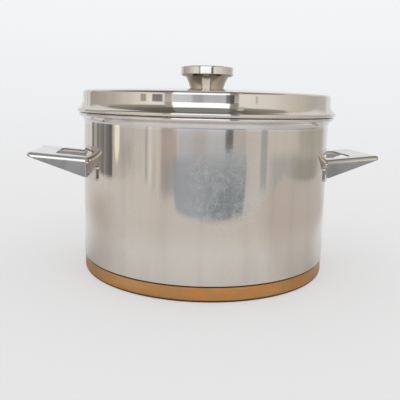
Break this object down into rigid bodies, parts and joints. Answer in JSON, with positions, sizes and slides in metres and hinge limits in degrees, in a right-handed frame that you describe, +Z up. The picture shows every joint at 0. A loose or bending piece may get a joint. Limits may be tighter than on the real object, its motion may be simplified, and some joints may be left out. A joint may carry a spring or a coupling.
{
  "type": "lidded stockpot",
  "caption": "Steel cooking pot with a copper-clad base, two pressed loop handles and a domed lid with a flared knob.",
  "frame": {"origin": "centre of the flat face under the copper base, on the pot's axis", "axes": "+Z up along the pot's axis, +X from the axis to the right handle"},
  "size_m": [0.3366, 0.2524, 0.1963],
  "materials": {
    "body_steel": "polished stainless steel, worn with faint smears",
    "core_aluminium": "plain, sealed between steel and copper",
    "base_copper": "worn copper with orange and brown tarnish",
    "handle_steel": "polished stainless steel",
    "lid_steel": "polished stainless steel",
    "knob_steel": "polished stainless steel",
    "screw_steel": "plain stainless steel fasteners"
  },
  "bodies": {
    "pot": {"pot_shell": "body_steel", "heat_core": "core_aluminium", "copper_base": "base_copper", "handle_left": "handle_steel", "handle_right": "handle_steel"},
    "lid": {"lid_shell": "lid_steel", "knob_cap": "knob_steel", "knob_stem": "knob_steel", "knob_boss": "knob_steel", "knob_screw": "screw_steel", "flat_washer": "screw_steel", "spring_washer": "screw_steel"}
  },
  "joints": [
    {"name": "lid_lift", "type": "slide", "parent": "pot", "child": "lid", "axis": [0, 0, 1], "range_m": [0, 0.12]}
  ]
}
